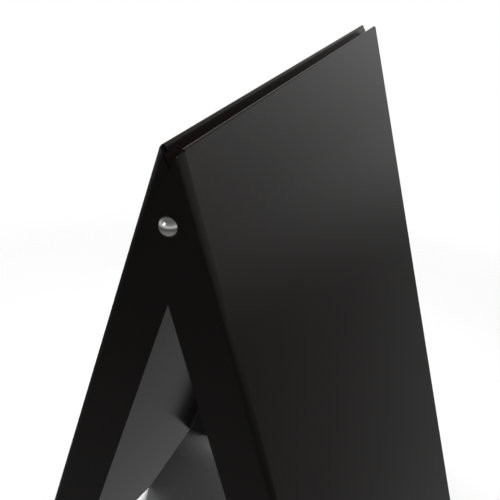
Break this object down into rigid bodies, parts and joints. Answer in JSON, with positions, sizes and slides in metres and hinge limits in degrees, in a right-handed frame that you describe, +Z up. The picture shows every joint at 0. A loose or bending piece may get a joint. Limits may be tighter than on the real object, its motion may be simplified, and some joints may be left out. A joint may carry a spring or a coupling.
{
  "type": "sandwich board",
  "caption": "Folding A-frame pavement sign: folded sheet-steel panels with mitred side flanges, joined near the top by domed hinge bolts.",
  "frame": {"origin": "middle of the base, on the surface the open board stands on", "axes": "+Z up, -Y the way the front panel faces, +X along the hinge axis to the right as seen from the front"},
  "size_m": [0.611, 0.5198, 0.8117],
  "materials": {
    "panel_coat": "fine satin powder coat, near black",
    "bolt_chrome": "bright plated",
    "zinc": "zinc plated",
    "nylon_natural": "natural nylon",
    "nylon_ring": "coloured nylon"
  },
  "bodies": {
    "front": {"front_panel": "panel_coat", "hinge_bolt_left": "bolt_chrome", "hinge_bolt_right": "bolt_chrome", "shoulder_bush_left": "nylon_natural", "shoulder_bush_right": "nylon_natural", "hinge_washer_left": "zinc", "hinge_washer_right": "zinc", "lock_nut_left": "zinc", "lock_nut_right": "zinc", "nut_insert_left": "nylon_ring", "nut_insert_right": "nylon_ring"},
    "back": {"back_panel": "panel_coat"}
  },
  "joints": [
    {"name": "panel_hinge", "type": "hinge", "parent": "front", "child": "back", "pos_m": [0, 0, 0.75618], "axis": [-1, 0, 0], "range_deg": [0, 34.3]}
  ]
}
